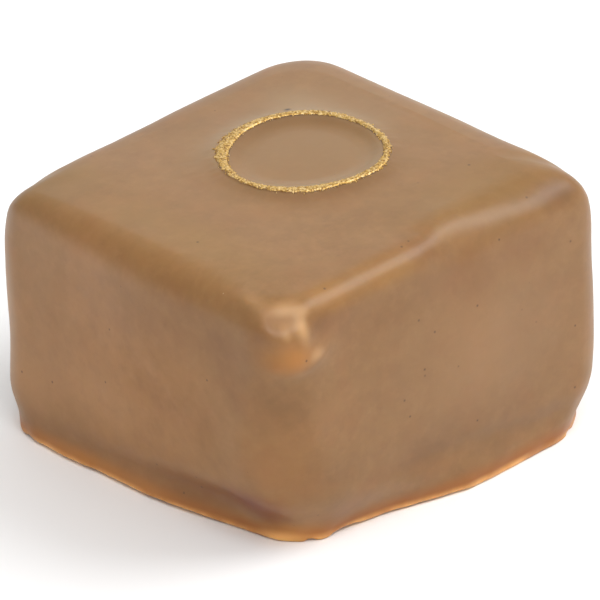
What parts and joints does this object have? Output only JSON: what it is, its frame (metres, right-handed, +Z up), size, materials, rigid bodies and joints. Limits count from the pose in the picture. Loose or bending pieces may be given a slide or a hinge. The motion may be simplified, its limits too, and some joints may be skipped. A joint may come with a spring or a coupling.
{
  "type": "chocolate-coated nougat",
  "caption": "Square piece of nougat in a smooth milk chocolate coat with a pooled foot and a ring of gold dust on top.",
  "frame": {"origin": "on the flat base, below the middle of the footprint's bounding box", "axes": "+Z up out of the top with the gold ring; +X and -Y out of the two walls on either side of the front corner, where a bead of chocolate ran down"},
  "size_m": [0.0258, 0.0254, 0.0168],
  "materials": {
    "milk_chocolate": "satin milk chocolate coat with soft highlights and a few pinholes",
    "gold_dust": "granular gold lustre dust, for the band on the ring of the top, which is fused to the coat"
  },
  "bodies": {
    "root": {"coated_nougat": "milk_chocolate"}
  },
  "joints": []
}
